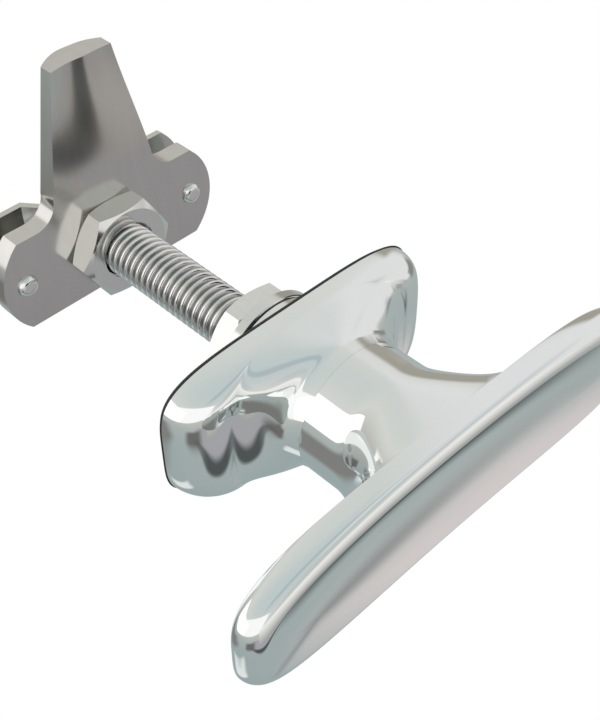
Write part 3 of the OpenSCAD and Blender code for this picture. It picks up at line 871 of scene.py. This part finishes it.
def thread_tree(material):
    """A bar with a helical thread along Y: a strip of the profile wound round the axis."""
    graph, given = geometry_tree("Threaded bar", {
        "Start": "Float", "End": "Float", "Radius": "Float", "Pitch": "Float", "Depth": "Float",
        "Flank": "Float", "Chamfer": "Float", "Turns": "Int", "Samples": "Int"})
    steps = given["Turns"] * TURN + 1
    grid = graph.node("GeometryNodeMeshGrid", {}, {
        "Size X": 1.0, "Size Y": 1.0, "Vertices X": steps, "Vertices Y": given["Samples"]})
    place = graph.node("ShaderNodeSeparateXYZ", {}, {"Vector": graph.node("GeometryNodeInputPosition")})
    wound = (Value(graph, place.socket.node.outputs[0]) + 0.5) * given["Turns"]
    across = Value(graph, place.socket.node.outputs[1]) + 0.5
    along = given["Start"] + (wound + across - 1) * given["Pitch"]
    along = along.math("MAXIMUM", given["Start"]).math("MINIMUM", given["End"])
    wave = (across * math.tau).math("COSINE")
    flattened = (wave * given["Flank"]).math("MAXIMUM", -0.5).math("MINIMUM", 0.5) + 0.5
    radius = given["Radius"] - given["Depth"] * flattened
    cone = given["Radius"] - given["Chamfer"]
    radius = radius.math("MINIMUM", cone + (along - given["Start"]))
    radius = radius.math("MINIMUM", cone + (given["End"] - along))
    angle = wound * math.tau
    spot = graph.node("ShaderNodeCombineXYZ", {}, {
        0: radius * angle.math("COSINE"), 1: along, 2: radius * angle.math("SINE")})
    strip = graph.node("GeometryNodeSetPosition", {}, {"Geometry": grid, "Position": spot})
    ends = []
    for end in ("Start", "End"):
        disc = graph.node("GeometryNodeMeshCircle", {"fill_type": "NGON"}, {
            "Vertices": TURN, "Radius": cone})
        at = graph.node("ShaderNodeCombineXYZ", {}, {1: given[end]})
        ends.append(graph.node("GeometryNodeTransform", {}, {
            "Geometry": disc, "Translation": at, "Rotation": (math.pi / 2, 0, 0)}))
    joined = graph.node("GeometryNodeJoinGeometry", {}, {"Geometry": [strip, *ends]})
    welded = graph.node("GeometryNodeMergeByDistance", {}, {"Geometry": joined, "Distance": WELD})
    return close_tree(graph, welded, material)


def row_tree():
    """Copies of a shape in a straight row."""
    graph, given = geometry_tree("Row of copies", {
        "Geometry": "Geometry", "Count": "Int", "First": "Vector", "Step": "Vector",
        "Material": "Material"})
    places = graph.node("GeometryNodeMeshLine", {}, {
        "Count": given["Count"], "Start Location": given["First"], "Offset": given["Step"]})
    row = graph.node("GeometryNodeInstanceOnPoints", {}, {"Points": places, "Instance": given["Geometry"]})
    return close_tree(graph, row, given["Material"])


def nut_shell(form, flats, height):
    """A hexagon nut round the Y axis, with corners chamfered at 30 degrees and a countersunk bore."""
    apothem = flats / 2
    corner = apothem / math.cos(math.pi / 6)
    face = corner - form.nut_chamfer
    sink = form.countersink
    shell = Shell()
    sixth = math.pi / 3
    turns = [math.tau * i / RING_OF_NUT for i in range(RING_OF_NUT)]
    reach = [apothem / math.cos(f % sixth - sixth / 2) for f in turns]
    drop = [max(0, r - face) * math.tan(math.pi / 6) for r in reach]
    inner = [min(face, r) for r in reach]

    def around(radii, heights):
        spots = zip(radii, heights, turns)
        return shell.ring([(r * math.cos(f), y, r * math.sin(f)) for r, y, f in spots])

    def level(radius, y):
        return around([radius] * RING_OF_NUT, [y] * RING_OF_NUT)

    rings = [
        level(form.bore, sink), level(form.bore + sink, 0), level(min(face, apothem), 0),
        around(inner, [0] * RING_OF_NUT), around(reach, drop),
        around(reach, [height - d for d in drop]), around(inner, [height] * RING_OF_NUT),
        level(min(face, apothem), height), level(form.bore + sink, height),
        level(form.bore, height - sink)]
    shell.skin(*rings, rings[0])
    return shell


def pin_shell(form, front, back, head_radius):
    """A rod pin round the Y axis: a round nose in front, a flat head behind."""
    nose = form.pin_nose
    edge = form.pin_edge
    shell = Shell()
    arc = [math.pi / 2 * i / NOSE_ROWS for i in range(NOSE_ROWS + 1)]
    profile = [(form.pin_radius - nose + nose * math.sin(f), front + nose - nose * math.cos(f))
               for f in arc]
    under = back - form.pin_head
    profile += [(form.pin_radius, under), (head_radius - edge, under), (head_radius, under + edge),
                (head_radius, back - edge), (head_radius - edge, back)]
    rings = [shell.ring(circle(r, y, HOLE_TURN)) for r, y in profile]
    shell.skin(*rings)
    shell.cap(rings[0], (0, front, 0))
    shell.cap(rings[-1], (0, back, 0))
    return shell


class LATCH_OT_handle(bpy.types.Operator):
    """Make the chromed T-handle"""

    bl_idname = "latch.handle"
    bl_label = "T-handle"

    def execute(self, context):
        dress(build_handle(context.scene.latch_handle), "handle", "chrome", "t_handle")
        return {"FINISHED"}


class LATCH_OT_base(bpy.types.Operator):
    """Make the lobed base and its gasket"""

    bl_idname = "latch.base"
    bl_label = "Base and gasket"

    def execute(self, context):
        form = context.scene.latch_base
        neck = context.scene.latch_handle.neck_radius
        dress(build_base(form, neck), "base", "chrome", "escutcheon_base")
        dress(build_gasket(form), "base", "gasket_rubber", "base_gasket")
        return {"FINISHED"}


class LATCH_OT_spindle(bpy.types.Operator):
    """Make the threaded spindle"""

    bl_idname = "latch.spindle"
    bl_label = "Threaded spindle"

    def execute(self, context):
        form = context.scene.latch_thread
        length = SPINDLE_HIGH.y - SPINDLE_LOW.y
        tree = thread_tree(FINISHES["thread_steel"]())
        piece = grown("threaded_spindle", tree, {
            "Start": SPINDLE_LOW.y, "End": SPINDLE_HIGH.y, "Radius": SPINDLE_HIGH.x, "Pitch": form.pitch,
            "Depth": form.depth, "Flank": form.flank, "Chamfer": form.chamfer,
            "Turns": math.ceil(length / form.pitch) + 2, "Samples": THREAD_SAMPLES}, sharp=60)
        dress(piece, "handle", "thread_steel", "spindle")
        return {"FINISHED"}


class LATCH_OT_nuts(bpy.types.Operator):
    """Make the hexagon nuts and the washers"""

    bl_idname = "latch.nuts"
    bl_label = "Nuts and washers"

    def execute(self, context):
        form = context.scene.latch_thread
        flats = FRONT_NUT_HIGH.z - FRONT_NUT_LOW.z
        height = FRONT_NUT_HIGH.y - FRONT_NUT_LOW.y
        rows = (
            ("cam_nuts", "cam", FRONT_NUT_LOW.y, REAR_NUT_LOW.y, ("cam_lock_nut", "rear_cam_nut")),
            ("panel_nut", "handle", PANEL_NUT_LOW.y, PANEL_NUT_HIGH.y, ("retaining_nut",)))
        for name, body, first, second, nodes in rows:
            piece = grown(name, row_tree(), {
                "Count": len(nodes), "First": (0, first, 0), "Step": (0, second - first, 0),
                "Material": FINISHES["plated_steel"]()}, sharp=20, shell=nut_shell(form, flats, height))
            dress(piece, body, "plated_steel", *nodes)
        flat_low, flat_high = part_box("flat_washer")
        ring_low, ring_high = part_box("friction_washer")
        pressed = Vector((0, form.pressed_in, 0))
        flat = ring_washer("plain_washer", flat_low - pressed, flat_high, form.bore, form.washer_edge)
        dress(flat, "handle", "plated_steel", "flat_washer")
        friction = ring_washer("friction_ring", ring_low, ring_high - pressed, form.bore, form.ring_edge)
        dress(friction, "handle", "friction_plastic", "friction_washer")
        return {"FINISHED"}


class LATCH_OT_cam(bpy.types.Operator):
    """Make the cam plate with its blade"""

    bl_idname = "latch.cam"
    bl_label = "Cam plate"

    def execute(self, context):
        plate = build_cam_plate(context.scene.latch_cam, context.scene.latch_thread.bore)
        dress(plate, "cam", "cam_steel", "cam_plate")
        return {"FINISHED"}


class LATCH_OT_pins(bpy.types.Operator):
    """Make the two rod pins"""

    bl_idname = "latch.pins"
    bl_label = "Rod pins"

    def execute(self, context):
        left = (LEFT_PIN_LOW + LEFT_PIN_HIGH) / 2
        right = (RIGHT_PIN_LOW + RIGHT_PIN_HIGH) / 2
        head = (LEFT_PIN_HIGH.x - LEFT_PIN_LOW.x) / 2
        shell = pin_shell(context.scene.latch_thread, LEFT_PIN_LOW.y, LEFT_PIN_HIGH.y, head)
        pair = grown("rod_pins", row_tree(), {
            "Count": 2, "First": (left.x, 0, 0), "Step": (right.x - left.x, 0, 0),
            "Material": FINISHES["bright_steel"]()}, sharp=40, shell=shell)
        dress(pair, "cam", "bright_steel", "rod_pin_left", "rod_pin_right")
        return {"FINISHED"}


def panel_group():
    """A shader group that lays one soft-edged panel over the colours behind it."""
    graph, given = new_tree("Soft panel", "ShaderNodeTree", {
        "Direction": "Vector", "Behind": "Color", "Centre": "Vector", "Across": "Vector",
        "Upward": "Vector", "Half Width": "Float", "Half Height": "Float", "Softness": "Float",
        "Fade": "Float", "Colour": "Color"}, "Colour", "Color")

    def along(axis):
        return graph.node("ShaderNodeVectorMath", {"operation": "DOT_PRODUCT"},
                          {0: given["Direction"], 1: given[axis]}, out="Value")

    def inside(distance, reach):
        return graph.node("ShaderNodeMapRange", {"interpolation_type": "SMOOTHSTEP"}, {
            "Value": 1 - distance.math("ABSOLUTE") / reach, "From Max": given["Softness"]})

    facing = along("Centre")
    ahead = facing.math("MAXIMUM", LEAST_FACING)
    x = along("Across").math("ARCTAN2", ahead)
    y = along("Upward").math("ARCTAN2", ahead)
    mask = inside(x, given["Half Width"]) * inside(y, given["Half Height"])
    mask = mask * facing.math("GREATER_THAN", GRAZING)
    foot = graph.node("ShaderNodeMapRange", {}, {
        "Value": y / given["Half Height"], "From Min": 1.0, "From Max": -1.0, "To Min": 1.0,
        "To Max": given["Fade"]})
    shone = graph.node("ShaderNodeVectorMath", {"operation": "SCALE"}, {0: given["Colour"], "Scale": foot})
    output = graph.tree.nodes.new("NodeGroupOutput")
    laid = colour_mix(graph, mask, given["Behind"], shone)
    graph.tree.links.new(laid.socket, output.inputs["Colour"])
    return graph.tree


def bearing(azimuth, elevation):
    """The direction of an azimuth, 0 along +Y and 90 along +X, and an elevation, in degrees."""
    a, e = math.radians(azimuth), math.radians(elevation)
    return Vector((math.sin(a) * math.cos(e), math.cos(a) * math.cos(e), math.sin(e)))


def room_colours(graph, form):
    """The room that the metal mirrors: a soft ramp from floor to ceiling, with panels before it."""
    direction = graph.node("ShaderNodeTexCoord", out="Generated")
    tilt = math.radians(form.room_tilt)
    rise = graph.node("ShaderNodeVectorMath", {"operation": "DOT_PRODUCT"},
                      {0: direction, 1: (0, -math.sin(tilt), math.cos(tilt))}, out="Value")
    stops = [(0, form.room_floor), (0.35, form.room_low), (0.5, form.room_level), (0.75, form.room_high),
             (1, form.room_top)]
    colour = graph.node("ShaderNodeValToRGB", {"stops": stops}, {"Fac": rise * 0.5 + 0.5})
    group = panel_group()
    for name in PANELS:
        azimuth, elevation, roll, half_width, half_height, softness, fade = getattr(form, name)
        centre = bearing(azimuth, elevation)
        level = Vector((math.cos(math.radians(azimuth)), -math.sin(math.radians(azimuth)), 0))
        turn = Quaternion(centre, -math.radians(roll))
        colour = graph.node("ShaderNodeGroup", {"node_tree": group}, {
            "Direction": direction, "Behind": colour, "Centre": centre, "Across": turn @ level,
            "Upward": turn @ level.cross(centre), "Half Width": math.radians(half_width),
            "Half Height": math.radians(half_height), "Softness": softness, "Fade": fade,
            "Colour": (*getattr(form, name + "_colour"), 1)})
    return colour


def build_floor(form):
    """A wide pale floor that shows white to the camera and stays out of the mirrored room."""
    shell = Shell()
    reach = form.floor_reach
    drop = form.floor_drop
    shell.flat(shell.ring([(-reach, -reach, -drop), (reach, -reach, -drop), (reach, reach, -drop),
                           (-reach, reach, -drop)]))
    floor = shell.finished("floor")
    material = bpy.data.materials.new("studio_floor")
    material.use_nodes = True
    graph = Graph(material.node_tree)
    diffuse = material.node_tree.nodes["Principled BSDF"]
    diffuse.inputs["Base Color"].default_value = (*form.floor_colour, 1)
    diffuse.inputs["Roughness"].default_value = 0.9
    glow = graph.node("ShaderNodeEmission", {}, {"Color": (1, 1, 1, 1), "Strength": 1.0})
    seen = graph.node("ShaderNodeLightPath", out="Is Camera Ray")
    mixed = graph.node("ShaderNodeMixShader", {}, {0: seen, 1: Value(graph, diffuse.outputs[0]), 2: glow})
    output = material.node_tree.nodes["Material Output"]
    graph.tree.links.new(mixed.socket, output.inputs["Surface"])
    floor.data.materials.append(material)
    floor.visible_glossy = False


class LATCH_OT_kept(bpy.types.Operator):
    """Paint the parts of the frame, which show where no piece replaces them"""

    bl_idname = "latch.kept"
    bl_label = "Kept parts"

    def execute(self, context):
        for part in frame["record"]["subparts"]:
            node = frame["nodes"][part["node"]]
            node.data.materials.clear()
            node.data.materials.append(FINISHES[part["material_slot"]]())
        return {"FINISHED"}


class LATCH_OT_studio(bpy.types.Operator):
    """Set up the floor, the light and the camera"""

    bl_idname = "latch.studio"
    bl_label = "Studio"

    def execute(self, context):
        form = context.scene.latch_studio
        scene = context.scene
        scene.view_settings.view_transform = "Standard"
        camera = bpy.data.objects.new("camera", bpy.data.cameras.new("camera"))
        camera.data.lens = form.lens
        camera.data.sensor_width = 36
        camera.data.clip_start = 0.01
        camera.location = form.camera_place
        tilt = math.radians(90 - form.camera_elevation)
        camera.rotation_mode = "XYZ"
        heading = Euler((tilt, 0, math.radians(form.camera_azimuth)))
        roll = Euler((0, 0, math.radians(form.camera_roll)))
        camera.rotation_euler = (heading.to_matrix() @ roll.to_matrix()).to_euler()
        scene.collection.objects.link(camera)
        scene.camera = camera
        world = bpy.data.worlds.new("studio")
        world.use_nodes = True
        scene.world = world
        graph = Graph(world.node_tree)
        seen = graph.node("ShaderNodeLightPath", out="Is Camera Ray")
        shown = colour_mix(graph, seen, room_colours(graph, form), (1, 1, 1, 1))
        world.node_tree.links.new(shown.socket, world.node_tree.nodes["Background"].inputs["Color"])
        build_floor(form)
        return {"FINISHED"}


class LATCH_PT_sidebar(bpy.types.Panel):
    """Lists the makers of the latch"""

    bl_label = "Latch"
    bl_space_type = "VIEW_3D"
    bl_region_type = "UI"
    bl_category = "Latch"

    def draw(self, context):
        for operator in OPERATORS:
            self.layout.operator(operator.bl_idname)


OPERATORS = [LATCH_OT_kept, LATCH_OT_handle, LATCH_OT_base, LATCH_OT_spindle, LATCH_OT_nuts, LATCH_OT_cam,
             LATCH_OT_pins, LATCH_OT_studio]


def register():
    for kind in (*FORMS.values(), *OPERATORS, LATCH_PT_sidebar):
        bpy.utils.register_class(kind)
    for name, form in FORMS.items():
        setattr(bpy.types.Scene, name, bpy.props.PointerProperty(type=form))


def unregister():
    for name in FORMS:
        delattr(bpy.types.Scene, name)
    for kind in (LATCH_PT_sidebar, *reversed(OPERATORS), *FORMS.values()):
        bpy.utils.unregister_class(kind)


def main():
    register()
    for operator in OPERATORS:
        group, name = operator.bl_idname.split(".")
        getattr(getattr(bpy.ops, group), name)()


if __name__ == "__main__":
    main()
